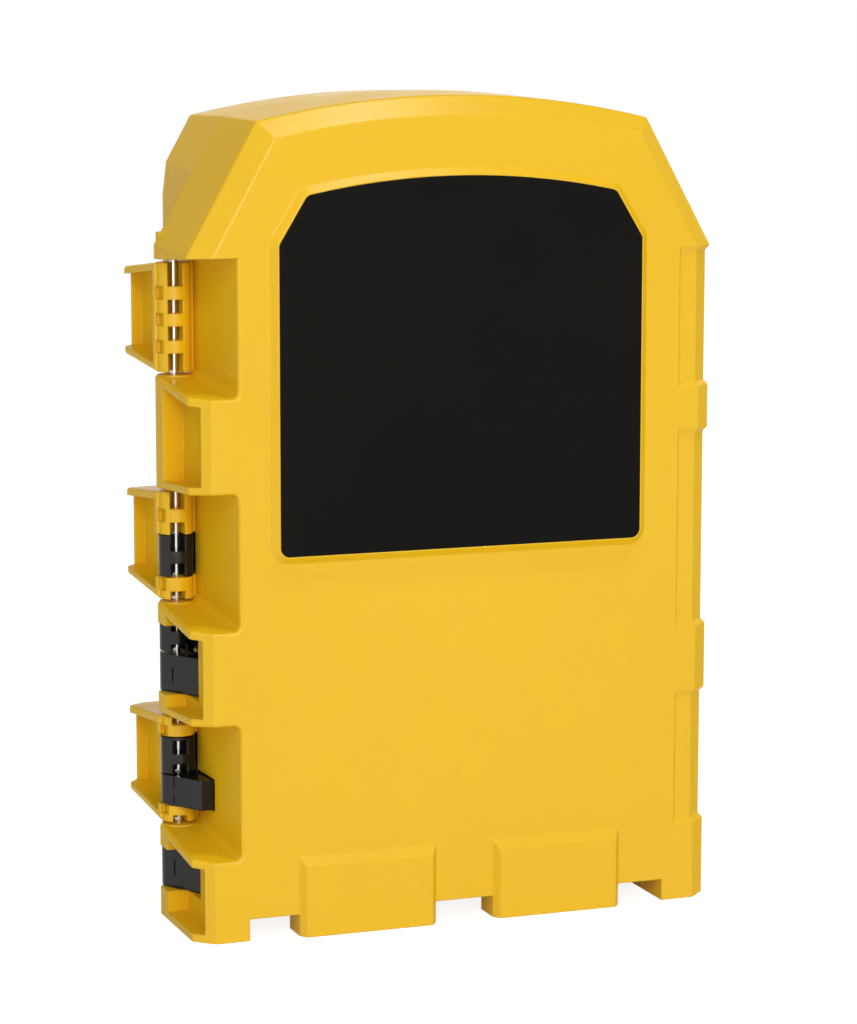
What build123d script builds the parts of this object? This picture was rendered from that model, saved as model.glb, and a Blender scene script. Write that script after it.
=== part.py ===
from build123d import *
from math import cos, hypot, radians, sin, sqrt
import os

os.makedirs("parts", exist_ok=True)

# Drill bit case, closed and standing upright. X is the width, with the hinge at -X. The lid faces -Y,
# the base +Y, and the two halves part at Y = 0. Z is up, with the feet on Z = 0. Millimetres.

# --- Hinge blocks, from the floor up: they set where the shoulders start ---
BLOCK_COUNT = 3
FIRST_BLOCK_Z = 36.7        # lowest base block, at the parting plane
BASE_BLOCK_HEIGHT = 40.9
PITCH = 86.1                # one base block and one lid block
BLOCK_GAP = 1.2             # running gap between neighbouring blocks
TOP_TAPER = 4.9             # drop of a block's upper face, out to the flat face
BOTTOM_TAPER = 3.1          # rise of its lower face
BASE_BLOCK_TOP = FIRST_BLOCK_Z + (BLOCK_COUNT - 1) * PITCH + BASE_BLOCK_HEIGHT

# --- Outline of the case, seen from the front ---
HALF_WIDTH = 104.2          # side flank at the bevelled edge
SLANT_RUN = 26.9            # from the flank to the corner between slanted shoulder and top arc
SHOULDER_STEP = 4.7         # from the uppermost base block to the shoulder
SLANT_HEIGHT = 48.5         # of the slanted shoulders
CROWN = 9.0                 # rise of the top arc
SHOULDER_Z = BASE_BLOCK_TOP + SHOULDER_STEP
CORNER_Z = SHOULDER_Z + SLANT_HEIGHT
TOP_Z = CORNER_Z + CROWN
HALF_DEPTH = 49.0           # parting plane to the flat face of each half
BEVEL_INSET = 7.2           # bevelled rim, across the face
BEVEL_DEPTH = 6.8           # bevelled rim, along the depth
DRAFT = 0.9                 # how far the rim stands out at the parting plane
EDGE_R = 1.4                # moulded radius on the outer edges
BLOCK_R = 1.2               # moulded radius on the hinge blocks' outer edges
RECESS_R = 2.5              # moulded radius in the corners of the hinge-side recesses
TOP_HALF_WIDTH = HALF_WIDTH - SLANT_RUN

# --- Shell walls ---
WALL = 2.6                  # face, top and floor
SIDE_WALL = 5.2             # latch side, behind the stepped-in panels
HINGE_WALL_INSET = 15.0     # from the flank to the outer face of the hinge-side recesses
HINGE_WALL_DRAFT = 2.4      # how far that face leans in towards the flat face
FLOOR_Z = 8.3               # underside of the case between the feet
HINGE_WALL_X = HALF_WIDTH - HINGE_WALL_INSET
FACE_HINGE_WALL_X = HINGE_WALL_X - HINGE_WALL_DRAFT

# --- Feet and the two raised pads over them ---
FOOT_DEPTH = 12.0           # foot bars, front to back
SIDE_FOOT_LENGTH = 20.3     # corner feet, from the flank
PAD_HEIGHT = 3.0            # how far a pad stands off the flat face
PAD_TOP_Z = 30.5
PAD_BEVEL = 2.2             # bevel at a pad's sides
PAD_TOP_BEVEL = 3.5         # bevel along its upper edge
PAD_R = 1.1                 # moulded radius on a pad's edges
PAD_OUTER_INSETS = (39.8, 38.8)     # from each flank to the outer end of its pad
PAD_INNER_X = (-10.0, 13.2)         # ends of the pads beside the middle notch
SIDE_FOOT_X = HALF_WIDTH - SIDE_FOOT_LENGTH
LEFT_PAD_X = (PAD_OUTER_INSETS[0] - HALF_WIDTH, PAD_INNER_X[0])
RIGHT_PAD_X = (PAD_INNER_X[1], HALF_WIDTH - PAD_OUTER_INSETS[1])

# --- Hinge ---
HINGE_INSET = 7.4           # from the flank to the rod's axis, on the parting plane
ROD_R = 1.5
ROD_CLEARANCE = 0.05
ROD_BOTTOM_Z = 1.5
KNUCKLE_R = 6.4             # moulded barrels on the shells
CAP_KNUCKLE_HEIGHT = 10.0   # the lid's uppermost knuckle
ROD_CAP = 3.0               # solid end of that knuckle, over the rod
POCKET_INSET = 8.1          # cored pocket in each block, from the flank
POCKET_NEAR_Y = {"base": 2.9, "lid": 9.4}
POCKET_FAR_WALL = 3.4
POCKET_FLANGE = 3.0
CORE_WALL = 2.6             # wall between pocket and inside
HINGE_X = HINGE_INSET - HALF_WIDTH
POCKET_FLOOR_X = HALF_WIDTH - POCKET_INSET
CAP_KNUCKLE = (BASE_BLOCK_TOP + BLOCK_GAP, BASE_BLOCK_TOP + BLOCK_GAP + CAP_KNUCKLE_HEIGHT)
ROD_TOP_Z = CAP_KNUCKLE[1] - ROD_CAP
ROD_HOLE_R = ROD_R + ROD_CLEARANCE

# --- Windows in the base's knuckles through which the rod shows, down from each block's upper end ---
WINDOW_X = (-3.7, 1.9)      # from the rod's axis
WINDOW_DEPTH = 1.8          # past the rod's axis
KNUCKLE_WINDOWS = (
    ((0.0, 8.8), (13.7, 18.9), (23.7, 29.0), (33.8, BASE_BLOCK_HEIGHT)),
    ((0.0, 6.5), (11.5, 16.4), (37.8, BASE_BLOCK_HEIGHT)),
    ((0.0, 3.2), (38.2, BASE_BLOCK_HEIGHT)),
)
SIDE_SLOT_X = (-6.7, -5.0)  # slots beside the knuckles, from the rod's axis
SIDE_SLOT_DEPTH = 1.5       # past the parting plane
SIDE_SLOTS = (
    ((8.8, 13.7), (18.9, 23.7), (29.0, 33.8)),
    ((6.5, 11.5), (32.4, 37.8)),
    ((3.6, 7.4), (34.4, 38.2)),
)

# --- Leaves, the two swinging racks between the halves ---
# Each barrel: the half and the block that it turns in, its drop from that block's upper end, its
# height, and the windows in its front, up from its lower end.
REAR_BARRELS = (
    ("base", 1, 16.7, 15.4, ((0.0, 5.0), (9.6, 15.4))),
    ("lid", 1, 8.5, 10.2, ((0.0, 2.7), (7.8, 9.7))),
    ("base", 2, 8.1, 13.9, ((0.0, 3.7), (7.6, 12.8))),
)
FRONT_BARRELS = (
    ("lid", 1, 19.7, 14.3, ((3.6, 9.6),)),
    ("base", 2, 22.7, 11.4, ((0.0, 3.7), (7.2, 11.4))),
    ("lid", 2, 8.9, 15.1, ((4.7, 10.9),)),
)
LEAF_BARREL_R = 6.6
LEAF_GAP = 0.5              # play above and below each leaf barrel
LEAF_SLOT_Y = 19.5          # depth of the slots in the recess walls, for the arms
LEAF_BLOCK_SLOT_Y = 26.0    # depth of the slots in the blocks
ARM_FAR_Y = 18.5
ARM_CORNER_X = 3.5          # from the rod's axis
ARM_ROOT_ANGLE = 30         # where an arm's inner face leaves the barrel
ARM_BACK_ANGLE = 45         # where its outer face does
LEAF_PLATE_Y = 13.0         # near face of the plate, from the parting plane
LEAF_PLATE_THICKNESS = 3.0
LEAF_HINGE_GAP = 5.2        # from the hinge-side wall to the plate
LEAF_LATCH_GAP = 14.2       # from the latch-side flank to the plate
LEAF_LIFT = 3.1             # from the floor to the plate
LEAF_SHOULDER_GAP = 8.5     # from the plate to the shoulder
LEAF_CORNER_R = 10.0
LEAF_RIM = 12.0             # width of the frame round the leaf's handle slot
HANDLE_LENGTH = 87.0
HANDLE_WIDTH = 12.0
RAIL_NEAR_Y = 2.0           # rails on the plates, from the parting plane
RAIL_HEIGHT = 12.0
RAIL_FLOOR = 3.0
LEAF_TOOL_Y = 7.5           # axis of the tools in the rails
LEAF_LEFT_X = LEAF_HINGE_GAP - HINGE_WALL_X
LEAF_RIGHT_X = HALF_WIDTH - LEAF_LATCH_GAP
LEAF_BOTTOM_Z = FLOOR_Z + WALL + LEAF_LIFT
LEAF_TOP_Z = SHOULDER_Z - LEAF_SHOULDER_GAP
RAIL_X = (LEAF_LEFT_X + LEAF_RIM, LEAF_RIGHT_X - LEAF_RIM)

# --- Label panel on the lid ---
LABEL_SIDE_INSET = 32.4     # from the flank to the panel's upright side
LABEL_SIDE_RISE = 4.2       # from the shoulder to the upper end of the upright side
LABEL_SIDE_HEIGHT = 114.5
LABEL_CORNER_INSET = 10.8   # from the upright side to the corner under the panel's arc
LABEL_SLANT_HEIGHT = 17.7
LABEL_CROWN = 6.4
LABEL_HEIGHT = 2.6          # plateau, off the flat face
LABEL_BEVEL = 2.6
LABEL_LIP = 0.4             # lip of the lid's colour round the panel
LABEL_THICKNESS = 0.8
LABEL_CORNER_R = 3.5
LABEL_HALF_WIDTH = HALF_WIDTH - LABEL_SIDE_INSET
LABEL_CORNER_HALF = LABEL_HALF_WIDTH - LABEL_CORNER_INSET
LABEL_SIDE_TOP_Z = SHOULDER_Z + LABEL_SIDE_RISE
LABEL_BOTTOM_Z = LABEL_SIDE_TOP_Z - LABEL_SIDE_HEIGHT
LABEL_CORNER_Z = LABEL_SIDE_TOP_Z + LABEL_SLANT_HEIGHT
LABEL_TOP_Z = LABEL_CORNER_Z + LABEL_CROWN

# --- Stepped-in panels along the latch side ---
STEP_WIDTH = 15.4           # from the flank
STEP_SIDE = 2.0             # depth on the side
STEP_FACE = 1.0             # depth on the flat face
STEP_SLOPE = 2.0            # height of the sloping ends
STEP_DROPS = ((0.1, 53.7), (69.9, 146.9), (171.9, 224.5))   # down from the shoulder
STEP_X = HALF_WIDTH - STEP_WIDTH
STEP_RANGES = [(SHOULDER_Z - low, SHOULDER_Z - high) for high, low in STEP_DROPS]

# --- Latches, in the middle of the lowest and the uppermost panel ---
LATCH_HEIGHT = 28.0
LATCH_PIN_INSET = 1.3       # from the flank
LATCH_PIN_Y = 13.0
LATCH_PIN_R = 1.0
LATCH_LUG = 5.0             # lug on the base at each end of a latch, which the pin runs into
LATCH_BARREL_R = 2.2
LATCH_CLEARANCE = 0.4
LATCH_THICKNESS = 2.0
LATCH_GAP = 0.1             # from the flank to the latch's inner face
LATCH_FAR_Y = 14.5          # hook at the free end, on the lid's side
LATCH_NOSE = 2.2            # length of the hook
LATCH_NOSE_HEIGHT = 0.55    # hook, off the latch's inner face
LATCH_GRIP = 1.2            # lip for the finger, off the latch's outer face
CATCH_INSET = 0.8           # crest of the bead on the lid, from the flank
CATCH_WIDTH = 2.0
CATCH_GAP = 0.5
LATCH_BOSS_INSET = 8.7      # inner face of the thickened wall behind the latches
LATCH_PIN_X = HALF_WIDTH - LATCH_PIN_INSET
LATCH_INNER_X = HALF_WIDTH + LATCH_GAP
LATCH_OUTER_X = LATCH_INNER_X + LATCH_THICKNESS
CATCH_NEAR_Y = LATCH_NOSE + CATCH_GAP - LATCH_FAR_Y
LATCH_Z = [(low + high) / 2 for low, high in (STEP_RANGES[2], STEP_RANGES[0])]
LATCH_RANGES = [(z - LATCH_HEIGHT / 2, z + LATCH_HEIGHT / 2) for z in LATCH_Z]

# --- Racks fixed in the two halves ---
RACK_LEFT_INSET = 28.2      # from the hinge-side flank
RACK_RIGHT_INSET = 24.2     # from the latch-side flank
RACK_FRONT_WALL = 1.45      # in front of the widest tool's socket
SOCKET_RACK_HEIGHT = 12.0
SOCKET_FLOOR = 3.0
SOCKET_CLEARANCE = 0.15
RACK_LIFT = 0.3             # lower racks, off the floor
CLIP_RACK_Z = 45.0
CLIP_RACK_HEIGHT = 9.0
CLIP_MOUTH = 0.9            # mouth of a clip, against its bore
TOOL_SETBACK = 9.4          # axis of the tools, from the inside of the face wall
SCREW_R = 1.4
SCREW_HEAD_R = 2.8
SCREW_HEAD_HEIGHT = 1.6
SCREW_BITE = 1.6            # into the face wall
SCREW_CLEARANCE = 0.05
SCREW_INSET = 5.0           # from each end of a rack
DRIVE_SLOT = 0.7            # width and depth of the cross in a screw's head
DRIVE_LENGTH = 3.4
WALL_Y = HALF_DEPTH - WALL
TOOL_Y = WALL_Y - TOOL_SETBACK
RACK_X = (RACK_LEFT_INSET - HALF_WIDTH, HALF_WIDTH - RACK_RIGHT_INSET)
SOCKET_RACK_Z = FLOOR_Z + WALL + RACK_LIFT
SCREW_X = (RACK_X[0] + SCREW_INSET, RACK_X[1] - SCREW_INSET)
SCREW_Z = (SOCKET_RACK_Z + SOCKET_RACK_HEIGHT / 2, CLIP_RACK_Z + CLIP_RACK_HEIGHT / 2)

# --- Tools ---
SMALL_DRILLS = ((1.5, 61.0), (1.75, 70.0), (2.0, 75.0), (2.25, 80.0), (2.5, 86.0), (2.75, 93.0))
LARGE_DRILLS = ((3.0, 93.0), (3.25, 101.0), (3.5, 109.0), (4.0, 117.0), (4.5, 125.0), (5.0, 133.0))
DRILL_INSET = 14.2          # outermost drills, from the ends of their racks
DRILL_POINT_ANGLE = 59      # half of the point's angle
DRILL_CHAMFER = 0.4
MASONRY_BITS = (
    (2.0, 85.0), (2.5, 90.0), (3.0, 100.0), (3.5, 110.0), (4.0, 120.0), (5.0, 140.0), (6.0, 150.0),
)
MASONRY_INSET = 21.0        # outermost masonry bits, from the ends of their racks
MASONRY_WAIST = 0.4         # how much thinner the fluted length is than the shank
MASONRY_SHANK = 40.0
CARBIDE_HEIGHT = 5.0
CARBIDE_THICKNESS = 1.6
SPADE_WIDTHS = (13.0, 16.0, 19.0, 22.0, 25.0)
SPADE_INSET = 17.0          # outermost spade bits, from the ends of their rails
SPADE_SHANK = 118.0
SPADE_BLADE = 34.0
SPADE_THICKNESS = 2.0
SPADE_POINT_HALF = 2.6
SPADE_POINT = 9.0
SPADE_SPUR = 1.5
SPADE_RAIL_Z = 18.0
SPADE_GUIDE_Z = 84.0
HEX_FLATS = 6.35            # shanks of the spade and driver bits
BIT_COUNT = 12
BIT_INSET = 6.8             # outermost driver bits, from the ends of their rails
BIT_LENGTH = 25.0
BIT_SHANK = 14.0
BIT_NECK_R = 2.4
BIT_NECK = 5.0
BIT_TIP_R = 1.8
BIT_TIP_WEB = 1.0
BIT_RAIL_Z = (60.0, 120.0, 180.0)
WIDEST_TOOL_R = max(radius for radius, length in LARGE_DRILLS + MASONRY_BITS)
RACK_DEPTH = TOOL_SETBACK + WIDEST_TOOL_R + SOCKET_CLEARANCE + RACK_FRONT_WALL
RACK_NEAR_Y = WALL_Y - RACK_DEPTH

OUTSIDE = 30.0              # how far cutting shapes run past the case


def depth_plane(y):
    """Upright sketch plane at depth y, with sketch x along X and sketch y along Z."""
    return Plane(origin=(0, y, 0), x_dir=(1, 0, 0), z_dir=(0, -1, 0))


def slant_point(half_width, grow):
    """Point of the slanted shoulder line, moved out by grow, at the given half width."""
    length = hypot(SLANT_RUN, SLANT_HEIGHT)
    shifted_x = HALF_WIDTH + grow * SLANT_HEIGHT / length
    shifted_z = SHOULDER_Z + grow * SLANT_RUN / length
    return (half_width, shifted_z + (shifted_x - half_width) * SLANT_HEIGHT / SLANT_RUN)


def top_corner(grow):
    """Corner between the slanted shoulder and the top arc, both moved out by grow."""
    arc_r = (TOP_HALF_WIDTH ** 2 + CROWN ** 2) / (2 * CROWN)
    slope = SLANT_HEIGHT / SLANT_RUN
    start = slant_point(HALF_WIDTH, grow)
    base = start[1] + slope * start[0] - (TOP_Z - arc_r)
    a = 1 + slope ** 2
    half_b = slope * base
    c = base ** 2 - (arc_r + grow) ** 2
    x = (half_b - sqrt(half_b ** 2 - a * c)) / a
    return (x, start[1] + slope * (start[0] - x))


def case_outline(y, grow, left, right, floor):
    """Face at depth y with the case's outline, moved out by grow, between the given sides."""
    corner = top_corner(grow)
    with BuildSketch(depth_plane(y)) as outline:
        with BuildLine():
            Polyline(
                (-corner[0], corner[1]),
                (-left, slant_point(left, grow)[1]),
                (-left, floor),
                (right, floor),
                (right, slant_point(right, grow)[1]),
                (corner[0], corner[1]),
            )
            ThreePointArc((corner[0], corner[1]), (0, TOP_Z + grow), (-corner[0], corner[1]))
        make_face()
    return outline.sketch.face()


def slab(y, x_range, z_range):
    """Rectangular face on the depth plane at y."""
    with BuildSketch(depth_plane(y)) as rectangle:
        with Locations(((x_range[0] + x_range[1]) / 2, (z_range[0] + z_range[1]) / 2)):
            Rectangle(x_range[1] - x_range[0], z_range[1] - z_range[0])
    return rectangle.sketch.face()


def block(x_range, y_range, z_range):
    """Box between the given limits, on its own."""
    face = slab(y_range[0], x_range, z_range)
    return extrude(face, amount=y_range[0] - y_range[1], mode=Mode.PRIVATE)


def tapered(side, *sections):
    """Loft through rectangles, on its own; each section is (depth, x range, z range)."""
    faces = [slab(side * depth, x_range, z_range) for depth, x_range, z_range in sections]
    return loft(faces, ruled=True, mode=Mode.PRIVATE)


def rod_barrel(radius, z_range):
    """Cylinder on the hinge axis, on its own."""
    with BuildSketch(Plane.XY.offset(z_range[0])) as barrel:
        with Locations((HINGE_X, 0)):
            Circle(radius)
    return extrude(barrel.sketch, amount=z_range[1] - z_range[0], mode=Mode.PRIVATE)


def base_blocks():
    """Z ranges of the base's hinge blocks at the parting plane, from the top."""
    tops = [BASE_BLOCK_TOP - i * PITCH for i in range(BLOCK_COUNT)]
    return [(top - BASE_BLOCK_HEIGHT, top) for top in tops]


def lid_blocks():
    """Z ranges of the lid's hinge blocks below the shoulder; the last one stands on the floor."""
    base = base_blocks()
    floors = [upper + BLOCK_GAP for lower, upper in base[1:]] + [0.0]
    return [(floor, lower - BLOCK_GAP) for floor, (lower, upper) in zip(floors, base)]


BLOCKS = {"base": base_blocks(), "lid": lid_blocks()}


def barrel_range(barrel):
    """Z range of a leaf's barrel."""
    half, index, drop, height = barrel[:4]
    top = BLOCKS[half][index][1] - drop
    return (top - height, top)


def hinge_recess(side, z_range, open_top=False, open_bottom=False):
    """Recess in which a block of the other half lies."""
    low, high = z_range
    sections = []
    for y in (-WALL, HALF_DEPTH + OUTSIDE):
        share = y / HALF_DEPTH
        x_range = (-HALF_WIDTH - OUTSIDE, -HINGE_WALL_X + HINGE_WALL_DRAFT * share)
        floor = -OUTSIDE if open_bottom else low - TOP_TAPER * share
        ceiling = TOP_Z + OUTSIDE if open_top else high + BOTTOM_TAPER * share
        sections.append((y, x_range, (floor, ceiling)))
    recess = tapered(side, *sections)
    corners = [
        edge
        for edge in recess.edges()
        if edge.bounding_box().size.Y > HALF_DEPTH
        and edge.center().X > -HALF_WIDTH
        and edge.center().Z < BASE_BLOCK_TOP
    ]
    return recess.fillet(RECESS_R, corners)


def block_pocket(side, half, z_range, flat_bottom):
    """Cored pocket of a hinge block, open to the side, and the hollow behind its wall."""
    low, high = z_range
    near_y = POCKET_NEAR_Y[half]
    far_y = HALF_DEPTH - POCKET_FAR_WALL
    rise = 0.0 if flat_bottom else BOTTOM_TAPER
    levels = []
    for y in (near_y, far_y):
        share = y / HALF_DEPTH
        levels.append((low + rise * share + POCKET_FLANGE, high - TOP_TAPER * share - POCKET_FLANGE))
    mouth_x = (-HALF_WIDTH - OUTSIDE, -POCKET_FLOOR_X)
    core_x = (-POCKET_FLOOR_X + CORE_WALL, -FACE_HINGE_WALL_X + WALL)
    core_z = (max(levels[1][0], FLOOR_Z + WALL), levels[1][1])
    return [
        tapered(side, (near_y, mouth_x, levels[0]), (far_y, mouth_x, levels[1])),
        block(core_x, (side * (KNUCKLE_R + CORE_WALL), side * far_y), core_z),
    ]


def leaf_slot(side, barrel, through_block):
    """Opening in which a leaf's barrel and arm turn."""
    low, high = barrel_range(barrel)
    near_y, far_y = (-LEAF_BARREL_R, LEAF_BLOCK_SLOT_Y) if through_block else (0.0, LEAF_SLOT_Y)
    return block(
        (-HALF_WIDTH - OUTSIDE, -FACE_HINGE_WALL_X + LEAF_HINGE_GAP),
        (side * near_y, side * far_y),
        (low - LEAF_GAP, high + LEAF_GAP),
    )


def edge_step(side, z_range):
    """One stepped-in panel along the latch side, with sloping ends."""
    low, high = z_range
    levels = ((low, 0.0), (low + STEP_SLOPE, 1.0), (high - STEP_SLOPE, 1.0), (high, 0.0))
    out_x = HALF_WIDTH + OUTSIDE
    out_y = side * (HALF_DEPTH + OUTSIDE)
    rim_y = side * (HALF_DEPTH - BEVEL_DEPTH)
    sections = []
    for z, share in levels:
        face_y = side * (HALF_DEPTH - STEP_FACE * share)
        side_cut = STEP_SIDE * share
        with BuildSketch(Plane.XY.offset(z)) as section:
            with BuildLine():
                Polyline(
                    (STEP_X, out_y),
                    (STEP_X, face_y),
                    (HALF_WIDTH - BEVEL_INSET - side_cut / 2, face_y),
                    (HALF_WIDTH - side_cut, rim_y),
                    (HALF_WIDTH + DRAFT - side_cut, 0),
                    (out_x, 0),
                    (out_x, out_y),
                    close=True,
                )
            make_face()
        sections.append(section.sketch.face())
    return loft(sections, ruled=True, mode=Mode.PRIVATE)


def shell_body(side):
    """Solid half of the case, with its bevelled rim and the two pads over the feet."""
    face_half = HALF_WIDTH - BEVEL_INSET
    sections = [
        case_outline(0, DRAFT, HALF_WIDTH, HALF_WIDTH + DRAFT, 0),
        case_outline(side * (HALF_DEPTH - BEVEL_DEPTH), 0, HALF_WIDTH, HALF_WIDTH, 0),
        case_outline(side * HALF_DEPTH, -BEVEL_INSET, face_half, face_half, 0),
    ]
    body = loft(sections, ruled=True)
    fillet([edge for edge in body.edges() if abs(edge.center().Y) > WALL and edge.center().Z > WALL], EDGE_R)
    pads = []
    for left, right in (LEFT_PAD_X, RIGHT_PAD_X):
        near = (HALF_DEPTH, (left, right), (0, PAD_TOP_Z))
        far_x = (left + PAD_BEVEL, right - PAD_BEVEL)
        far = (HALF_DEPTH + PAD_HEIGHT, far_x, (0, PAD_TOP_Z - PAD_TOP_BEVEL))
        pad = tapered(side, near, far)
        outer = [edge for edge in pad.edges() if abs(edge.center().Y) > HALF_DEPTH + 0.1 and edge.center().Z > 0.1]
        pads.append(pad.fillet(PAD_R, outer))
    add(pads)


def shell_hollow(side, recesses):
    """Cut the inside, the space between the feet and the hinge-side recesses."""
    rim = HALF_DEPTH - BEVEL_DEPTH
    add(recesses, mode=Mode.SUBTRACT)
    outer = [
        edge
        for edge in edges(Select.NEW)
        if abs(edge.center().Y) > WALL
        and edge.center().Z < BASE_BLOCK_TOP - BLOCK_R
        and (edge.center().X < -HINGE_WALL_X - BLOCK_R or abs(edge.center().Y) > HALF_DEPTH - BLOCK_R)
    ]
    fillet(outer, BLOCK_R)
    floor = FLOOR_Z + WALL
    left = HINGE_WALL_X - WALL
    rim_left = left - HINGE_WALL_DRAFT * rim / HALF_DEPTH
    inset = BEVEL_INSET + WALL / 2
    cavity = loft(
        [
            case_outline(0, DRAFT - WALL, left, HALF_WIDTH + DRAFT - SIDE_WALL, floor),
            case_outline(side * rim, -WALL, rim_left, HALF_WIDTH - SIDE_WALL, floor),
            case_outline(side * WALL_Y, -inset, left - HINGE_WALL_DRAFT, HALF_WIDTH - inset, floor),
        ],
        ruled=True,
        mode=Mode.PRIVATE,
    )
    below = (-OUTSIDE, FLOOR_Z)
    gaps = [block((-SIDE_FOOT_X, SIDE_FOOT_X), (-side * WALL, side * (HALF_DEPTH - FOOT_DEPTH)), below)]
    for x_range in (
        (-SIDE_FOOT_X, LEFT_PAD_X[0]),
        (LEFT_PAD_X[1], RIGHT_PAD_X[0]),
        (RIGHT_PAD_X[1], SIDE_FOOT_X),
    ):
        gaps.append(block(x_range, (0, side * (HALF_DEPTH + OUTSIDE)), below))
    add([cavity, *gaps], mode=Mode.SUBTRACT)


def hinge_cuts(side, half, own_barrels, other_barrels):
    """Pockets, leaf slots and the rod's hole of one half."""
    cuts = []
    for z_range in BLOCKS[half]:
        cuts += block_pocket(side, half, z_range, flat_bottom=z_range[0] == 0)
    cuts += [leaf_slot(side, barrel, barrel[0] == half) for barrel in own_barrels]
    cuts += [leaf_slot(side, barrel, True) for barrel in other_barrels if barrel[0] == half]
    cuts.append(rod_barrel(ROD_HOLE_R, (-OUTSIDE, ROD_TOP_Z)))
    return cuts


def pilot_holes(side):
    """Blind holes in the face wall for the rack screws."""
    depth = SCREW_BITE + SCREW_CLEARANCE
    with BuildSketch(depth_plane(side * WALL_Y)) as holes:
        with Locations(*[(x, z) for x in SCREW_X for z in SCREW_Z]):
            Circle(SCREW_R + SCREW_CLEARANCE)
    extrude(holes.sketch, amount=-side * depth, mode=Mode.SUBTRACT)


def label_outline(y, grow):
    """Outline of the label panel at depth y, moved out by grow."""
    with BuildSketch(depth_plane(y)) as outline:
        with BuildLine():
            Polyline(
                (-LABEL_CORNER_HALF, LABEL_CORNER_Z),
                (-LABEL_HALF_WIDTH, LABEL_SIDE_TOP_Z),
                (-LABEL_HALF_WIDTH, LABEL_BOTTOM_Z),
                (LABEL_HALF_WIDTH, LABEL_BOTTOM_Z),
                (LABEL_HALF_WIDTH, LABEL_SIDE_TOP_Z),
                (LABEL_CORNER_HALF, LABEL_CORNER_Z),
            )
            ThreePointArc(
                (LABEL_CORNER_HALF, LABEL_CORNER_Z),
                (0, LABEL_TOP_Z),
                (-LABEL_CORNER_HALF, LABEL_CORNER_Z),
            )
        label_face = make_face()
        fillet(label_face.vertices(), LABEL_CORNER_R)
        if grow:
            offset(amount=grow, kind=Kind.ARC)
    return outline.sketch.face()


# ---------------------------------------------------------------- base shell
with BuildPart() as base_shell:
    shell_body(1)
    base_recesses = [hinge_recess(1, (BLOCKS["base"][0][1], TOP_Z), open_top=True)]
    for upper, lower in zip(BLOCKS["base"], BLOCKS["base"][1:]):
        base_recesses.append(hinge_recess(1, (lower[1], upper[0])))
    base_recesses.append(hinge_recess(1, (0, BLOCKS["base"][-1][0]), open_bottom=True))
    shell_hollow(1, base_recesses)
    boss_x = (HALF_WIDTH - LATCH_BOSS_INSET, HALF_WIDTH - STEP_SIDE - CATCH_INSET)
    boss_y = (0, LATCH_PIN_Y + LATCH_BARREL_R + WALL)
    bosses = [
        block(boss_x, boss_y, (low - LATCH_LUG - WALL, high + LATCH_LUG + WALL))
        for low, high in LATCH_RANGES
    ]
    add([rod_barrel(KNUCKLE_R, z_range) for z_range in BLOCKS["base"]] + bosses)
    base_cuts = hinge_cuts(1, "base", REAR_BARRELS, FRONT_BARRELS)
    for z_range, windows, slots in zip(BLOCKS["base"], KNUCKLE_WINDOWS, SIDE_SLOTS):
        for near, far in windows:
            base_cuts.append(
                block(
                    (HINGE_X + WINDOW_X[0], HINGE_X + WINDOW_X[1]),
                    (-LEAF_BARREL_R, WINDOW_DEPTH),
                    (z_range[1] - far, z_range[1] - near),
                )
            )
        for near, far in slots:
            base_cuts.append(
                block(
                    (HINGE_X + SIDE_SLOT_X[0], HINGE_X + SIDE_SLOT_X[1]),
                    (-LEAF_BARREL_R, SIDE_SLOT_DEPTH),
                    (z_range[1] - far, z_range[1] - near),
                )
            )
    base_cuts += [edge_step(1, z_range) for z_range in STEP_RANGES]
    seat_y = (
        LATCH_PIN_Y - LATCH_BARREL_R - LATCH_CLEARANCE,
        LATCH_PIN_Y + LATCH_BARREL_R + LATCH_CLEARANCE,
    )
    seat_x = (LATCH_PIN_X - LATCH_BARREL_R - LATCH_CLEARANCE, HALF_WIDTH + OUTSIDE)
    for low, high in LATCH_RANGES:
        base_cuts.append(block(seat_x, seat_y, (low - LATCH_CLEARANCE, high + LATCH_CLEARANCE)))
    add(base_cuts, mode=Mode.SUBTRACT)
    lug_x = (LATCH_PIN_X - LATCH_BARREL_R, LATCH_PIN_X + LATCH_BARREL_R)
    lug_y = (LATCH_PIN_Y - LATCH_BARREL_R, LATCH_PIN_Y + LATCH_BARREL_R)
    lugs = []
    for low, high in LATCH_RANGES:
        lugs.append(block(lug_x, lug_y, (low - LATCH_CLEARANCE - LATCH_LUG, low - LATCH_CLEARANCE)))
        lugs.append(block(lug_x, lug_y, (high + LATCH_CLEARANCE, high + LATCH_CLEARANCE + LATCH_LUG)))
    add(lugs)
    with Locations(*[(LATCH_PIN_X, LATCH_PIN_Y, z) for z in LATCH_Z]):
        Cylinder(LATCH_PIN_R, LATCH_HEIGHT + 2 * (LATCH_CLEARANCE + LATCH_LUG), mode=Mode.SUBTRACT)
    pilot_holes(1)
base_shell.part.label = "base_shell"
export_step(base_shell.part, "parts/base_shell.step")

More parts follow.
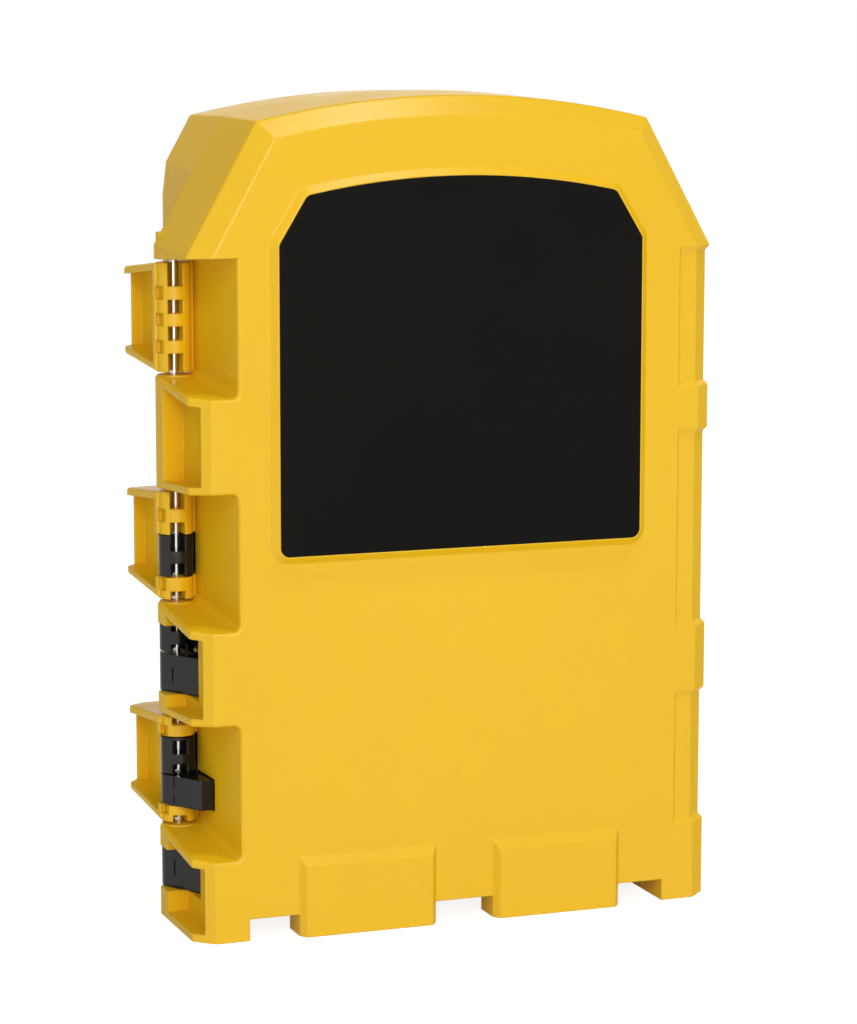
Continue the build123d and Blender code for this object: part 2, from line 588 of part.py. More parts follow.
# ---------------------------------------------------------------- lid shell
with BuildPart() as lid_shell:
    shell_body(-1)
    plateau = [
        label_outline(-HALF_DEPTH, LABEL_BEVEL + LABEL_LIP),
        label_outline(-HALF_DEPTH - LABEL_HEIGHT, LABEL_LIP),
    ]
    loft(plateau, ruled=True)
    lid_recesses = [
        hinge_recess(-1, (low - BLOCK_GAP, high + BLOCK_GAP)) for low, high in BLOCKS["base"]
    ]
    shell_hollow(-1, lid_recesses)
    lid_knuckles = [CAP_KNUCKLE, *BLOCKS["lid"]]
    add([rod_barrel(KNUCKLE_R, z_range) for z_range in lid_knuckles])
    lid_cuts = hinge_cuts(-1, "lid", FRONT_BARRELS, REAR_BARRELS)
    lid_cuts += [edge_step(-1, z_range) for z_range in STEP_RANGES]
    panel_face = label_outline(-HALF_DEPTH - LABEL_HEIGHT, 0)
    lid_cuts.append(extrude(panel_face, amount=-LABEL_THICKNESS, mode=Mode.PRIVATE))
    add(lid_cuts, mode=Mode.SUBTRACT)
    catch_x = (HALF_WIDTH - SIDE_WALL + WALL, HALF_WIDTH - CATCH_INSET)
    catch_y = (CATCH_NEAR_Y, CATCH_NEAR_Y + CATCH_WIDTH)
    add([block(catch_x, catch_y, z_range) for z_range in LATCH_RANGES])
    pilot_holes(-1)
lid_shell.part.label = "lid_shell"
export_step(lid_shell.part, "parts/lid_shell.step")

# ---------------------------------------------------------------- label panel
with BuildPart() as label_panel:
    extrude(panel_face, amount=-LABEL_THICKNESS)
label_panel.part.label = "label_panel"
export_step(label_panel.part, "parts/label_panel.step")

# ---------------------------------------------------------------- hinge rod
with BuildPart() as hinge_rod:
    add(rod_barrel(ROD_R, (ROD_BOTTOM_Z, ROD_TOP_Z)))
hinge_rod.part.label = "hinge_rod"
export_step(hinge_rod.part, "parts/hinge_rod.step")


# ---------------------------------------------------------------- swinging leaves
def row_x(x_range, count, inset):
    """Even spacing along X, with the outermost ones at the inset from a rack's or rail's ends."""
    first = x_range[0] + inset
    pitch = (x_range[1] - inset - first) / (count - 1)
    return [first + i * pitch for i in range(count)]


def leaf_plate(side):
    """Flat plate of a leaf, with its handle slot."""
    middle_x = (LEAF_LEFT_X + LEAF_RIGHT_X) / 2
    middle_z = (LEAF_BOTTOM_Z + LEAF_TOP_Z) / 2
    with BuildSketch(depth_plane(side * (LEAF_PLATE_Y + LEAF_PLATE_THICKNESS / 2))) as plate:
        with Locations((middle_x, middle_z)):
            RectangleRounded(LEAF_RIGHT_X - LEAF_LEFT_X, LEAF_TOP_Z - LEAF_BOTTOM_Z, LEAF_CORNER_R)
        with Locations((middle_x, LEAF_TOP_Z - LEAF_RIM - HANDLE_WIDTH / 2)):
            SlotOverall(HANDLE_LENGTH, HANDLE_WIDTH, mode=Mode.SUBTRACT)
    extrude(plate.sketch, amount=LEAF_PLATE_THICKNESS / 2, both=True)


def leaf_arms(side, barrels):
    """Barrels on the rod, and an arm from each to the plate."""
    near = side * LEAF_PLATE_Y
    root = radians(ARM_ROOT_ANGLE)
    back = radians(ARM_BACK_ANGLE)
    arms = []
    windows = []
    for barrel in barrels:
        low, high = barrel_range(barrel)
        with BuildSketch(Plane.XY.offset(low)) as arm:
            with Locations((HINGE_X, 0)):
                Circle(LEAF_BARREL_R)
            with BuildLine():
                Polyline(
                    (HINGE_X + LEAF_BARREL_R * cos(root), side * LEAF_BARREL_R * sin(root)),
                    (HINGE_X - LEAF_BARREL_R * cos(back), side * LEAF_BARREL_R * sin(back)),
                    (HINGE_X + ARM_CORNER_X, side * ARM_FAR_Y),
                    (RAIL_X[0], side * ARM_FAR_Y),
                    (RAIL_X[0], near),
                    (LEAF_LEFT_X - LEAF_PLATE_THICKNESS, near),
                    close=True,
                )
            make_face()
        arms.append(extrude(arm.sketch, amount=high - low, mode=Mode.PRIVATE))
        for lower, upper in barrel[4]:
            windows.append(
                block(
                    (HINGE_X + WINDOW_X[0], HINGE_X + WINDOW_X[1]),
                    (-LEAF_BARREL_R, 0),
                    (low + lower, low + upper),
                )
            )
    add(arms)
    add([*windows, rod_barrel(ROD_HOLE_R, (ROD_BOTTOM_Z, ROD_TOP_Z))], mode=Mode.SUBTRACT)


def hex_rail(side, z_low, floor, x_positions):
    """Rail on a leaf's inner face with hexagonal sockets, closed below where it has a floor."""
    hole_r = (HEX_FLATS / 2 + SOCKET_CLEARANCE) / cos(radians(30))
    rail = block(RAIL_X, (side * RAIL_NEAR_Y, side * LEAF_PLATE_Y), (z_low, z_low + RAIL_HEIGHT))
    with BuildSketch(Plane.XY.offset(z_low + floor)) as sockets:
        with Locations(*[(x, side * LEAF_TOOL_Y) for x in x_positions]):
            RegularPolygon(hole_r, 6)
    add(rail)
    extrude(sockets.sketch, amount=RAIL_HEIGHT, mode=Mode.SUBTRACT)


SPADE_X = row_x(RAIL_X, len(SPADE_WIDTHS), SPADE_INSET)
BIT_X = row_x(RAIL_X, BIT_COUNT, BIT_INSET)

with BuildPart() as rear_leaf:
    leaf_plate(1)
    leaf_arms(1, REAR_BARRELS)
    hex_rail(1, SPADE_RAIL_Z, RAIL_FLOOR, SPADE_X)
    hex_rail(1, SPADE_GUIDE_Z, 0, SPADE_X)
rear_leaf.part.label = "rear_leaf"
export_step(rear_leaf.part, "parts/rear_leaf.step")

with BuildPart() as front_leaf:
    leaf_plate(-1)
    leaf_arms(-1, FRONT_BARRELS)
    for rail_z in BIT_RAIL_Z:
        hex_rail(-1, rail_z, RAIL_FLOOR, BIT_X)
front_leaf.part.label = "front_leaf"
export_step(front_leaf.part, "parts/front_leaf.step")

# ---------------------------------------------------------------- latches and their pins
for latch_name, (latch_low, latch_high) in zip(("lower_latch", "upper_latch"), LATCH_RANGES):
    with BuildPart() as latch:
        with BuildSketch(Plane.XY.offset(latch_low)):
            with Locations((LATCH_PIN_X, LATCH_PIN_Y)):
                Circle(LATCH_BARREL_R)
            with BuildLine():
                Polyline(
                    (LATCH_PIN_X, LATCH_PIN_Y),
                    (LATCH_PIN_X + LATCH_BARREL_R, LATCH_PIN_Y),
                    (LATCH_OUTER_X, LATCH_PIN_Y - LATCH_BARREL_R),
                    (LATCH_OUTER_X, -LATCH_FAR_Y),
                    (LATCH_OUTER_X + LATCH_GRIP, -LATCH_FAR_Y - LATCH_NOSE),
                    (LATCH_INNER_X + LATCH_THICKNESS / 2, -LATCH_FAR_Y - LATCH_NOSE),
                    (LATCH_INNER_X - LATCH_NOSE_HEIGHT, -LATCH_FAR_Y),
                    (LATCH_INNER_X - LATCH_NOSE_HEIGHT, LATCH_NOSE - LATCH_FAR_Y),
                    (LATCH_INNER_X, LATCH_NOSE - LATCH_FAR_Y),
                    (LATCH_INNER_X, LATCH_PIN_Y - 2 * LATCH_BARREL_R),
                    close=True,
                )
            make_face()
            with Locations((LATCH_PIN_X, LATCH_PIN_Y)):
                Circle(LATCH_PIN_R + ROD_CLEARANCE, mode=Mode.SUBTRACT)
        extrude(amount=latch_high - latch_low)
    latch.part.label = latch_name
    export_step(latch.part, "parts/" + latch_name + ".step")

with BuildPart() as latch_pins:
    with Locations(*[(LATCH_PIN_X, LATCH_PIN_Y, z) for z in LATCH_Z]):
        Cylinder(LATCH_PIN_R, LATCH_HEIGHT + 2 * (LATCH_CLEARANCE + LATCH_LUG))
latch_pins.part.label = "latch_pins"
export_step(latch_pins.part, "parts/latch_pins.step")


# ---------------------------------------------------------------- racks in the two halves
def rack(side, z_range, tools, inset, is_clip):
    """Rail on a half's face wall, with a socket or an open clip for each tool."""
    low, high = z_range
    add(block(RACK_X, (side * RACK_NEAR_Y, side * WALL_Y), z_range))
    with BuildSketch(Plane.XY.offset(low if is_clip else low + SOCKET_FLOOR)) as seats:
        for x, (radius, length) in zip(row_x(RACK_X, len(tools), inset), tools):
            hole_r = radius + SOCKET_CLEARANCE
            with Locations((x, side * TOOL_Y)):
                Circle(hole_r)
            if is_clip:
                with Locations((x, side * (TOOL_Y + RACK_NEAR_Y) / 2)):
                    Rectangle(2 * hole_r * CLIP_MOUTH, TOOL_Y - RACK_NEAR_Y)
    extrude(seats.sketch, amount=high - low, mode=Mode.SUBTRACT)
    with BuildSketch(depth_plane(side * WALL_Y)) as holes:
        with Locations(*[(x, (low + high) / 2) for x in SCREW_X]):
            Circle(SCREW_R + SCREW_CLEARANCE)
    extrude(holes.sketch, amount=side * RACK_DEPTH, mode=Mode.SUBTRACT)


SOCKET_RANGE = (SOCKET_RACK_Z, SOCKET_RACK_Z + SOCKET_RACK_HEIGHT)
CLIP_RANGE = (CLIP_RACK_Z, CLIP_RACK_Z + CLIP_RACK_HEIGHT)
DRILLS = SMALL_DRILLS + LARGE_DRILLS
RACKS = (
    ("base_socket_rack", 1, SOCKET_RANGE, DRILLS, DRILL_INSET, False),
    ("base_clip_rack", 1, CLIP_RANGE, DRILLS, DRILL_INSET, True),
    ("lid_socket_rack", -1, SOCKET_RANGE, MASONRY_BITS, MASONRY_INSET, False),
    ("lid_clip_rack", -1, CLIP_RANGE, MASONRY_BITS, MASONRY_INSET, True),
)
for rack_name, rack_side, rack_range, rack_tools, rack_inset, rack_is_clip in RACKS:
    with BuildPart() as rack_part:
        rack(rack_side, rack_range, rack_tools, rack_inset, rack_is_clip)
    rack_part.part.label = rack_name
    export_step(rack_part.part, "parts/" + rack_name + ".step")

# ---------------------------------------------------------------- rack screws, four in each half
for screws_name, screws_side in (("base_rack_screws", 1), ("lid_rack_screws", -1)):
    with BuildPart() as rack_screws:
        with Locations(
            *[
                Location((x, screws_side * RACK_NEAR_Y, z), (screws_side * 90, 0, 0))
                for x in SCREW_X
                for z in SCREW_Z
            ]
        ):
            Cylinder(SCREW_R, RACK_DEPTH + SCREW_BITE, align=(Align.CENTER, Align.CENTER, Align.MAX))
            Cylinder(SCREW_HEAD_R, SCREW_HEAD_HEIGHT, align=(Align.CENTER, Align.CENTER, Align.MIN))
            with Locations((0, 0, SCREW_HEAD_HEIGHT)):
                slot_align = (Align.CENTER, Align.CENTER, Align.MAX)
                Box(DRIVE_LENGTH, DRIVE_SLOT, DRIVE_SLOT, align=slot_align, mode=Mode.SUBTRACT)
                Box(DRIVE_SLOT, DRIVE_LENGTH, DRIVE_SLOT, align=slot_align, mode=Mode.SUBTRACT)
    rack_screws.part.label = screws_name
    export_step(rack_screws.part, "parts/" + screws_name + ".step")


# ---------------------------------------------------------------- tools in the racks
def turned(x, y, profile):
    """Solid of revolution about an upright axis; profile is (radius, height) points from below."""
    with BuildSketch(depth_plane(y)) as half:
        with BuildLine():
            Polyline(
                (x, profile[0][1]),
                *[(x + radius, z) for radius, z in profile],
                (x, profile[-1][1]),
                close=True,
            )
        make_face()
    return revolve(half.sketch, axis=Axis((x, y, 0), (0, 0, 1)), mode=Mode.PRIVATE)


def drill(x, radius, length):
    """Twist drill standing on its shank in the base's racks."""
    low = SOCKET_RACK_Z + SOCKET_FLOOR
    point = radius / sin(radians(DRILL_POINT_ANGLE)) * cos(radians(DRILL_POINT_ANGLE))
    flat_r = DRILL_CHAMFER / 2
    profile = (
        (radius - DRILL_CHAMFER, low),
        (radius, low + DRILL_CHAMFER),
        (radius, low + length - point),
        (flat_r, low + length),
    )
    return turned(x, TOOL_Y, profile)


DRILL_X = row_x(RACK_X, len(DRILLS), DRILL_INSET)
DRILL_SETS = (
    ("small_twist_drills", SMALL_DRILLS, DRILL_X[:len(SMALL_DRILLS)]),
    ("large_twist_drills", LARGE_DRILLS, DRILL_X[len(SMALL_DRILLS):]),
)
for drills_name, drill_sizes, drill_xs in DRILL_SETS:
    with BuildPart() as twist_drills:
        add([drill(x, radius, length) for x, (radius, length) in zip(drill_xs, drill_sizes)])
    twist_drills.part.label = drills_name
    export_step(twist_drills.part, "parts/" + drills_name + ".step")

with BuildPart() as masonry_bits:
    masonry_low = SOCKET_RACK_Z + SOCKET_FLOOR
    masonry_x = row_x(RACK_X, len(MASONRY_BITS), MASONRY_INSET)
    for x, (radius, length) in zip(masonry_x, MASONRY_BITS):
        waist_r = radius - MASONRY_WAIST
        high = masonry_low + length
        profile = (
            (radius - DRILL_CHAMFER, masonry_low),
            (radius, masonry_low + DRILL_CHAMFER),
            (radius, masonry_low + MASONRY_SHANK),
            (waist_r, masonry_low + MASONRY_SHANK + MASONRY_WAIST),
            (waist_r, high - CARBIDE_HEIGHT),
            (waist_r - DRILL_CHAMFER, high - CARBIDE_HEIGHT + DRILL_CHAMFER),
        )
        add(turned(x, -TOOL_Y, profile))
        with BuildSketch(depth_plane(-TOOL_Y)) as carbide:
            with BuildLine():
                Polyline(
                    (x - radius, high - CARBIDE_HEIGHT),
                    (x + radius, high - CARBIDE_HEIGHT),
                    (x + radius, high - radius / 2),
                    (x, high),
                    (x - radius, high - radius / 2),
                    close=True,
                )
            make_face()
        extrude(carbide.sketch, amount=CARBIDE_THICKNESS / 2, both=True)
masonry_bits.part.label = "masonry_bits"
export_step(masonry_bits.part, "parts/masonry_bits.step")

# ---------------------------------------------------------------- tools on the leaves
with BuildPart() as spade_bits:
    spade_low = SPADE_RAIL_Z + RAIL_FLOOR
    with BuildSketch(Plane.XY.offset(spade_low)) as shanks:
        with Locations(*[(x, LEAF_TOOL_Y) for x in SPADE_X]):
            RegularPolygon(HEX_FLATS / 2 / cos(radians(30)), 6)
    extrude(shanks.sketch, amount=SPADE_SHANK)
    blade_low = spade_low + SPADE_SHANK
    with BuildSketch(depth_plane(LEAF_TOOL_Y)) as blades:
        for x, width in zip(SPADE_X, SPADE_WIDTHS):
            half = width / 2
            blade_top = blade_low + SPADE_BLADE
            with BuildLine():
                Polyline(
                    (x - HEX_FLATS / 2, blade_low - SPADE_THICKNESS),
                    (x + HEX_FLATS / 2, blade_low - SPADE_THICKNESS),
                    (x + half, blade_low + half),
                    (x + half, blade_top + SPADE_SPUR),
                    (x + half - SPADE_SPUR, blade_top),
                    (x + SPADE_POINT_HALF, blade_top),
                    (x, blade_top + SPADE_POINT),
                    (x - SPADE_POINT_HALF, blade_top),
                    (x - half + SPADE_SPUR, blade_top),
                    (x - half, blade_top + SPADE_SPUR),
                    (x - half, blade_low + half),
                    close=True,
                )
            make_face()
    extrude(blades.sketch, amount=SPADE_THICKNESS / 2, both=True)
spade_bits.part.label = "spade_bits"
export_step(spade_bits.part, "parts/spade_bits.step")

for bits_name, bits_rail_z in zip(("cross_tip_bits", "square_tip_bits", "star_tip_bits"), BIT_RAIL_Z):
    bits_low = bits_rail_z + RAIL_FLOOR
    centres = [(x, -LEAF_TOOL_Y) for x in BIT_X]
    with BuildPart() as driver_bits:
        with BuildSketch(Plane.XY.offset(bits_low)):
            with Locations(*centres):
                RegularPolygon(HEX_FLATS / 2 / cos(radians(30)), 6)
        extrude(amount=BIT_SHANK)
        with BuildSketch(Plane.XY.offset(bits_low + BIT_SHANK)) as necks:
            with Locations(*centres):
                Circle(BIT_NECK_R)
        extrude(necks.sketch, amount=BIT_NECK)
        with BuildSketch(Plane.XY.offset(bits_low + BIT_SHANK + BIT_NECK)) as tips:
            with Locations(*centres):
                if bits_name == "cross_tip_bits":
                    Rectangle(2 * BIT_TIP_R, BIT_TIP_WEB)
                    Rectangle(BIT_TIP_WEB, 2 * BIT_TIP_R)
                elif bits_name == "square_tip_bits":
                    RegularPolygon(BIT_TIP_R, 4)
                else:
                    RegularPolygon(BIT_TIP_R, 3)
                    RegularPolygon(BIT_TIP_R, 3, rotation=60)
        extrude(tips.sketch, amount=BIT_LENGTH - BIT_SHANK - BIT_NECK)
    driver_bits.part.label = bits_name
    export_step(driver_bits.part, "parts/" + bits_name + ".step")
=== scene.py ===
"""Looks of the drill bit case: finishes, fluted tools, camera, light and floor."""
import logging
import math
from dataclasses import dataclass, field
from enum import Enum
from typing import Sequence

import bpy
import numpy as np
from mathutils import Matrix, Vector


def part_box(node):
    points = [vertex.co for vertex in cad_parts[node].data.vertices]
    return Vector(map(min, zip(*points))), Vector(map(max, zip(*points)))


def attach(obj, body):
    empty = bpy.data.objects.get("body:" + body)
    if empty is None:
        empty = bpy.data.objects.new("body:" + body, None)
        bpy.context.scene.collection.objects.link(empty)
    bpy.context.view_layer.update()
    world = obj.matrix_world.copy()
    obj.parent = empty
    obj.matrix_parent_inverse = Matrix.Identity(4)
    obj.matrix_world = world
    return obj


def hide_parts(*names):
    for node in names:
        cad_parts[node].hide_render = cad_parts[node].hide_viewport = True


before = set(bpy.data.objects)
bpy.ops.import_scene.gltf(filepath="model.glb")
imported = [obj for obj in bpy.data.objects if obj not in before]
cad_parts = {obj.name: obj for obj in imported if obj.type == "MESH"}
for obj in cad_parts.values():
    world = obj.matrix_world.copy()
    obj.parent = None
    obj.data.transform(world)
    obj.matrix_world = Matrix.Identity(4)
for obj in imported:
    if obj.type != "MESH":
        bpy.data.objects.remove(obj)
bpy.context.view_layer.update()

MM = 0.001

# Radius and length of each tool, in millimetres
SMALL_DRILLS = ((1.5, 61.0), (1.75, 70.0), (2.0, 75.0), (2.25, 80.0), (2.5, 86.0), (2.75, 93.0))
LARGE_DRILLS = ((3.0, 93.0), (3.25, 101.0), (3.5, 109.0), (4.0, 117.0), (4.5, 125.0), (5.0, 133.0))
MASONRY_BITS = (
    (2.0, 85.0), (2.5, 90.0), (3.0, 100.0), (3.5, 110.0), (4.0, 120.0), (5.0, 140.0), (6.0, 150.0),
)

# Edges flatter than this, in degrees, are shaded smooth
FLUTE_SMOOTH_ANGLE = 50.0
PLATE_SMOOTH_ANGLE = 20.0

log = logging.getLogger("drill_case")

Colour = tuple[float, float, float]
Place = tuple[float, float, float]


# ------------------------------------------------------------------ node trees
class NodeSheet:
    """A small writer of shader node trees."""

    def __init__(self, tree: bpy.types.NodeTree) -> None:
        """Keep the tree that the nodes go into.

        Args:
            tree: a node group, or the node tree of a material or of the world.
        """
        self.tree = tree

    def add(self, kind: str, settings: dict | None = None, **inputs: object) -> bpy.types.Node:
        """Add a node, set its options and feed its inputs.

        Args:
            kind: the node's bl_idname.
            settings: attributes to set on the node.
            **inputs: socket names, with underscores for spaces, and a value or an output socket.

        Returns:
            The new node.
        """
        node = self.tree.nodes.new(kind)
        for name, value in (settings or {}).items():
            setattr(node, name, value)
        for name, value in inputs.items():
            self.feed(node, name.replace("_", " "), value)
        return node

    def feed(self, node: bpy.types.Node, name: str | int, value: object) -> None:
        """Give one input a value, or link an output socket to it.

        Args:
            node: the node that has the input.
            name: the input's name or index.
            value: a plain value or an output socket.
        """
        socket = node.inputs[name]
        if isinstance(value, bpy.types.NodeSocket):
            self.tree.links.new(value, socket)
        else:
            socket.default_value = value

    def feed_all(self, node: bpy.types.Node, *values: object) -> bpy.types.Node:
        """Feed a node's first inputs in order.

        Args:
            node: the node that has the inputs.
            *values: plain values or output sockets.

        Returns:
            The same node.
        """
        for index, value in enumerate(values):
            self.feed(node, index, value)
        return node

    def math(self, operation: str, *values: object) -> bpy.types.NodeSocket:
        """Add a Math node.

        Args:
            operation: the node's operation.
            *values: its inputs in order.

        Returns:
            Its output socket.
        """
        node = self.add("ShaderNodeMath", {"operation": operation})
        return self.feed_all(node, *values).outputs[0]

    def vector_math(self, operation: str, *values: object) -> bpy.types.Node:
        """Add a Vector Math node.

        Args:
            operation: the node's operation.
            *values: its inputs in order.

        Returns:
            The node, because its output depends on the operation.
        """
        return self.feed_all(self.add("ShaderNodeVectorMath", {"operation": operation}), *values)

    def span(
        self, value: object, low: float, high: float, to_low: float = 0.0, to_high: float = 1.0
    ) -> bpy.types.NodeSocket:
        """Map a value's range onto another, clamped.

        Args:
            value: the socket to map.
            low: start of its range.
            high: end of its range.
            to_low: result at the start.
            to_high: result at the end.

        Returns:
            The mapped value's socket.
        """
        node = self.add("ShaderNodeMapRange")
        return self.feed_all(node, value, low, high, to_low, to_high).outputs[0]

    def mix(self, factor: object, first: object, second: object) -> bpy.types.NodeSocket:
        """Mix two colours.

        Args:
            factor: how much of the second.
            first: colour or socket.
            second: colour or socket.

        Returns:
            The mixed colour's socket.
        """
        node = self.add("ShaderNodeMix", {"data_type": "RGBA", "blend_type": "MIX"})
        self.feed(node, 0, factor)
        # The node keeps its sockets of every data type: 6, 7 and 2 are those for colours
        self.feed(node, 6, first)
        self.feed(node, 7, second)
        return node.outputs[2]

    def noise(
        self, place: object, scale: object, detail: float, **more: float
    ) -> bpy.types.NodeSocket:
        """Add a Noise Texture node.

        Args:
            place: the position socket.
            scale: patches per metre.
            detail: the number of octaves.
            **more: its other inputs.

        Returns:
            Its factor socket.
        """
        node = self.add("ShaderNodeTexNoise", Vector=place, Scale=scale, Detail=detail, **more)
        return node.outputs["Fac"]

    def group(self, tree: bpy.types.NodeTree, *values: object) -> bpy.types.Node:
        """Place a shared node group.

        Args:
            tree: the node group.
            *values: its inputs in order.

        Returns:
            The group node.
        """
        return self.feed_all(self.add("ShaderNodeGroup", {"node_tree": tree}), *values)

    def object_place(self) -> bpy.types.NodeSocket:
        """Add a Texture Coordinate node and return the position in the object's own frame."""
        return self.add("ShaderNodeTexCoord").outputs["Object"]

    def rounded(self, radius_mm: float, samples: int) -> bpy.types.NodeSocket:
        """Add a Bevel node, which rounds the edges in the shading.

        Args:
            radius_mm: radius of the rounding.
            samples: rays that the node sends out.

        Returns:
            The rounded normal's socket.
        """
        return self.add("ShaderNodeBevel", {"samples": samples}, Radius=radius_mm * MM).outputs[0]

    def bump(self, depth_mm: float, height: object, normal: object) -> bpy.types.NodeSocket:
        """Add a Bump node at full strength.

        Args:
            depth_mm: depth of the relief.
            height: the relief's socket.
            normal: the normal that it goes on.

        Returns:
            The new normal's socket.
        """
        node = self.add(
            "ShaderNodeBump", Strength=1.0, Distance=depth_mm * MM, Height=height, Normal=normal,
        )
        return node.outputs[0]

    def seen_straight(self) -> bpy.types.NodeSocket:
        """Tell apart the rays that show a surface from those that light another one.

        Returns:
            A socket that is 1 for camera, glossy and transmission rays and 0 for diffuse ones.
        """
        path = self.add("ShaderNodeLightPath")
        seen = self.math("MAXIMUM", path.outputs["Is Camera Ray"], path.outputs["Is Glossy Ray"])
        return self.math("MAXIMUM", seen, path.outputs["Is Transmission Ray"])


def rgba(colour: Colour) -> tuple[float, float, float, float]:
    """The colour with full alpha."""
    return (*colour, 1.0)


def new_material(name: str) -> tuple[bpy.types.Material, NodeSheet]:
    """Make a material with no nodes in it yet.

    Args:
        name: the material's name.

    Returns:
        The material and a writer for its nodes.
    """
    material = bpy.data.materials.new(name)
    material.use_nodes = True
    material.node_tree.nodes.clear()
    return material, NodeSheet(material.node_tree)


@dataclass(frozen=True)
class GroupSocket:
    """One socket of a node group."""

    name: str
    kind: str = "NodeSocketFloat"
    default: float = 0.0


def new_group(
    name: str, inputs: Sequence[GroupSocket], outputs: Sequence[GroupSocket]
) -> tuple[bpy.types.NodeTree, NodeSheet, bpy.types.Node, bpy.types.Node]:
    """Make an empty shader node group with its sockets.

    Args:
        name: the group's name.
        inputs: its inputs.
        outputs: its outputs.

    Returns:
        The group, a writer for it, its input node and its output node.
    """
    group = bpy.data.node_groups.new(name, "ShaderNodeTree")
    for direction, sockets in (("INPUT", inputs), ("OUTPUT", outputs)):
        for item in sockets:
            socket = group.interface.new_socket(name=item.name, in_out=direction, socket_type=item.kind)
            if direction == "INPUT" and item.kind == "NodeSocketFloat":
                socket.default_value = item.default
    sheet = NodeSheet(group)
    return group, sheet, group.nodes.new("NodeGroupInput"), group.nodes.new("NodeGroupOutput")


class EffectLibrary:
    """Node groups that more than one finish uses, each built once.

    A range gives the two values, of a noise or of the cosine between the flat and the rounded
    normal, at which an effect starts and is full.
    """

    CELL_SMOOTHNESS = 0.6
    FINE_NOISE_PER_CELL = 1.7
    FINE_NOISE_HEIGHT = 0.7
    GLOSS_PATCHES_PER_METRE = 55.0
    GLOSS_RANGE = (0.32, 0.68)

    EDGE_COSINE_RANGE = (0.995, 0.86)
    RUBS_PER_METRE = 190.0
    RUB_RANGE = (0.42, 0.62)

    TONE_RANGE = (0.3, 0.7)
    SMUDGES_PER_TONE_PATCH = 4.0
    SMUDGE_RANGE = (0.52, 0.74)

    LINE_STRETCH = (0.04, 0.04, 1.0)
    STAINS_PER_METRE = 160.0
    STAIN_RANGE = (0.4, 0.65)

    def __init__(self) -> None:
        """Build every group."""
        self.grain = self._grain()
        self.wear = self._wear()
        self.drift = self._drift()
        self.brushing = self._brushing()

    def _grain(self) -> bpy.types.NodeTree:
        """Spark-eroded mould texture: fine cells over a finer noise, as a height and a mask.

        Returns:
            The node group.
        """
        group, sheet, given, result = new_group(
            "mould_grain",
            [GroupSocket("Vector", "NodeSocketVector"), GroupSocket("Cells per metre", default=2500.0)],
            [GroupSocket("Height"), GroupSocket("Mask")],
        )
        place, cells_per_metre = given.outputs[0], given.outputs[1]
        cells = sheet.add(
            "ShaderNodeTexVoronoi", {"feature": "SMOOTH_F1"},
            Vector=place, Scale=cells_per_metre, Smoothness=self.CELL_SMOOTHNESS,
        )
        fine_scale = sheet.math("MULTIPLY", cells_per_metre, self.FINE_NOISE_PER_CELL)
        fine = sheet.noise(place, fine_scale, 2.0, Roughness=0.6)
        broad = sheet.noise(place, self.GLOSS_PATCHES_PER_METRE, 4.0, Roughness=0.55)
        fine_height = sheet.math("MULTIPLY", fine, self.FINE_NOISE_HEIGHT)
        height = sheet.math("ADD", cells.outputs["Distance"], fine_height)
        sheet.feed_all(result, height, sheet.span(broad, *self.GLOSS_RANGE))
        return group

    def _wear(self) -> bpy.types.NodeTree:
        """Handled edges: where the rounded normal leaves the flat one, broken up by noise.

        Returns:
            The node group.
        """
        group, sheet, given, result = new_group(
            "handled_edges",
            [GroupSocket("Vector", "NodeSocketVector"), GroupSocket("Rounded", "NodeSocketVector")],
            [GroupSocket("Edge"), GroupSocket("Rubbed")],
        )
        place, rounded = given.outputs[0], given.outputs[1]
        flat = sheet.add("ShaderNodeNewGeometry").outputs["Normal"]
        cosine = sheet.vector_math("DOT_PRODUCT", rounded, flat).outputs["Value"]
        edge = sheet.span(cosine, *self.EDGE_COSINE_RANGE)
        broken = sheet.noise(place, self.RUBS_PER_METRE, 5.0, Roughness=0.65)
        rubbed = sheet.math("MULTIPLY", edge, sheet.span(broken, *self.RUB_RANGE))
        sheet.feed_all(result, edge, rubbed)
        return group

    def _drift(self) -> bpy.types.NodeTree:
        """Slow change of tone over a moulding, with a few faint smudges from handling.

        Returns:
            The node group.
        """
        group, sheet, given, result = new_group(
            "tone_drift",
            [GroupSocket("Vector", "NodeSocketVector"), GroupSocket("Patches per metre", default=9.0)],
            [GroupSocket("Tone"), GroupSocket("Smudge")],
        )
        place, patches_per_metre = given.outputs[0], given.outputs[1]
        slow = sheet.noise(place, patches_per_metre, 3.0)
        smear_scale = sheet.math("MULTIPLY", patches_per_metre, self.SMUDGES_PER_TONE_PATCH)
        smear = sheet.noise(place, smear_scale, 6.0, Roughness=0.62, Distortion=0.6)
        tone = sheet.span(slow, *self.TONE_RANGE)
        sheet.feed_all(result, tone, sheet.span(smear, *self.SMUDGE_RANGE))
        return group

    def _brushing(self) -> bpy.types.NodeTree:
        """Fine turning or grinding lines across the Z axis, as a height and a mask of stains.

        Returns:
            The node group.
        """
        group, sheet, given, result = new_group(
            "grinding_lines",
            [GroupSocket("Vector", "NodeSocketVector"), GroupSocket("Lines per metre", default=4000.0)],
            [GroupSocket("Height"), GroupSocket("Mask")],
        )
        place, lines_per_metre = given.outputs[0], given.outputs[1]
        stretched = sheet.vector_math("MULTIPLY", place, self.LINE_STRETCH).outputs[0]
        lines = sheet.noise(stretched, lines_per_metre, 3.0, Roughness=0.7)
        stains = sheet.noise(place, self.STAINS_PER_METRE, 4.0)
        sheet.feed_all(result, lines, sheet.span(stains, *self.STAIN_RANGE))
        return group


